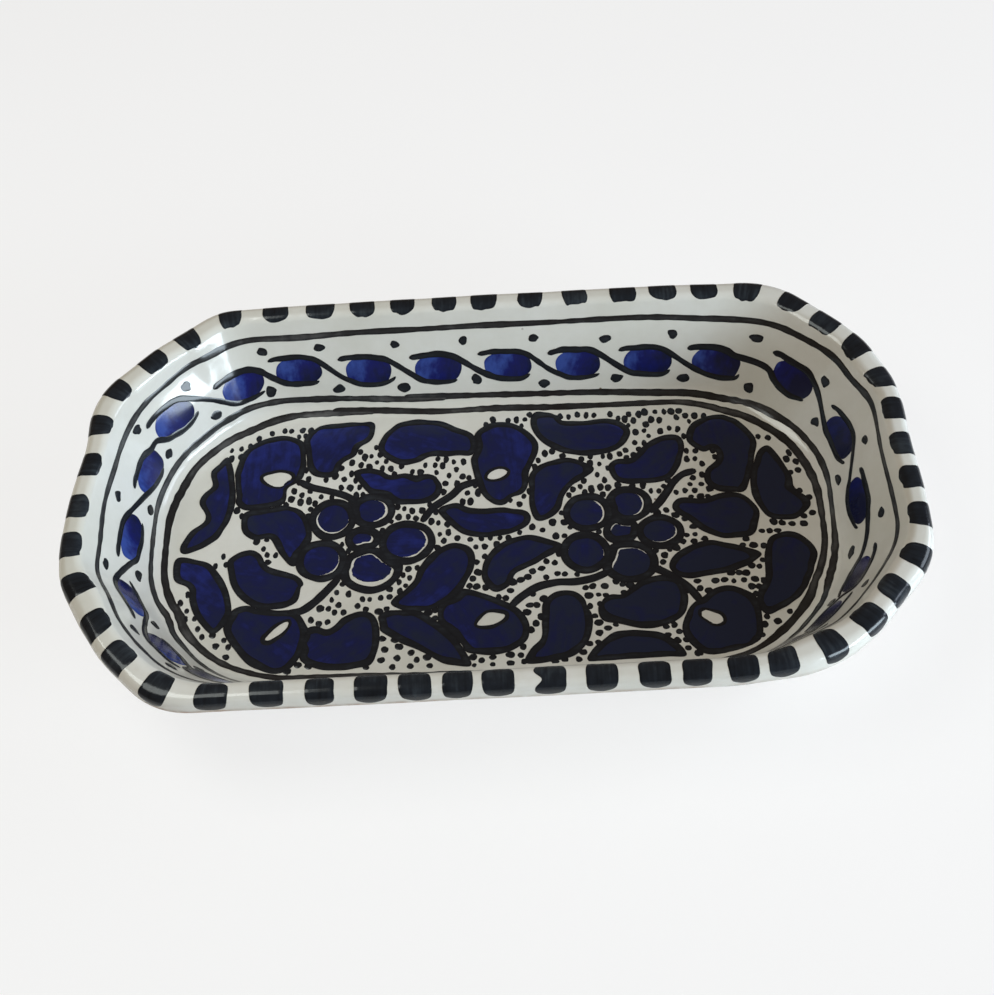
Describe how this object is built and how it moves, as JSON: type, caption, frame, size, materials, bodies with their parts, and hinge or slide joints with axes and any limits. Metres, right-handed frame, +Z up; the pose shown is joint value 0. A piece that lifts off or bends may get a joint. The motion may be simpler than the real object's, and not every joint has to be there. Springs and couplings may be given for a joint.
{
  "type": "olive dish",
  "caption": "Long octagonal glazed earthenware dish with sloping walls, a rounded lip, a foot ring and brush-painted black and blue borders, leaves and blossoms.",
  "frame": {"origin": "on the table under the middle of the dish, in the plane of the underside of the foot ring", "axes": "+X along the length of the dish, +Y across it, +Z up out of its mouth"},
  "size_m": [0.2206, 0.1274, 0.0362],
  "materials": {
    "clay": "unglazed red earthenware",
    "glaze": "glossy cream-white glaze",
    "black_enamel": "glossy brush-painted black",
    "blue_enamel": "glossy brush-painted cobalt blue"
  },
  "bodies": {
    "root": {"clay_body": "clay", "foot_ring": "clay", "glaze_coat": "glaze", "rim_marks": "black_enamel", "upper_line": "black_enamel", "border_beads": "blue_enamel", "border_strokes": "black_enamel", "border_dabs": "black_enamel", "outer_floor_line": "black_enamel", "inner_floor_line": "black_enamel", "petal_colour": "blue_enamel", "leaf_colour": "blue_enamel", "petal_outlines": "black_enamel", "leaf_outlines": "black_enamel", "stem_strokes": "black_enamel", "floor_dots": "black_enamel"}
  },
  "joints": []
}
